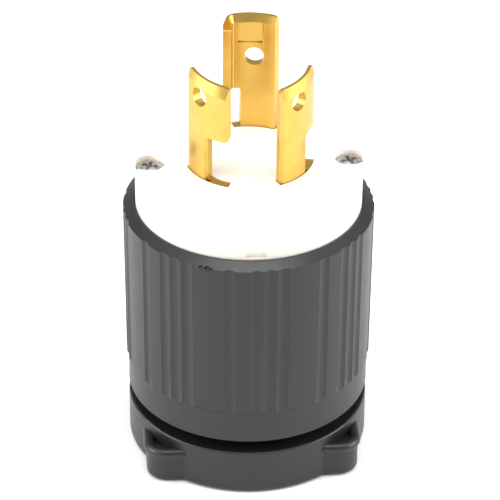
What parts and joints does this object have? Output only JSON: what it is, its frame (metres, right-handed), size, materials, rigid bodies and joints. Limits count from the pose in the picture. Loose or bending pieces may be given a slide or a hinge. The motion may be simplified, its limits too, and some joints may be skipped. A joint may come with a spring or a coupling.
{
  "type": "locking power plug",
  "caption": "Round locking power plug: curved brass blades on a pale insulator, a fluted black shell and a split cord clamp.",
  "frame": {"origin": "middle of the cord clamp's foot, on the plug's axis", "axes": "+Z along the plug's axis, towards the blades; +X from the left assembly screw to the right one, seen from the front; -Y to the front"},
  "size_m": [0.051, 0.051, 0.0923],
  "materials": {
    "white_nylon": "moulded, satin",
    "black_nylon": "moulded, satin",
    "brass": "stamped, satin",
    "zinc_steel": "zinc plated",
    "green_steel": "green dyed",
    "seal_rubber": "matt"
  },
  "bodies": {
    "root": {"face_plate": "white_nylon", "terminal_housing": "white_nylon", "line_blade_left": "brass", "line_blade_right": "brass", "ground_blade": "brass", "terminal_plate_left": "zinc_steel", "terminal_plate_right": "zinc_steel", "terminal_plate_ground": "zinc_steel", "terminal_screw_left": "brass", "terminal_screw_right": "brass", "terminal_screw_ground": "green_steel", "shell": "black_nylon", "shell_insert_left": "brass", "shell_insert_right": "brass", "assembly_screw_left": "zinc_steel", "assembly_screw_right": "zinc_steel", "cord_seal": "seal_rubber", "cord_clamp_front": "black_nylon", "cord_clamp_rear": "black_nylon", "clamp_screw_left": "zinc_steel", "clamp_screw_right": "zinc_steel", "clamp_nut_left": "zinc_steel", "clamp_nut_right": "zinc_steel"}
  },
  "joints": []
}
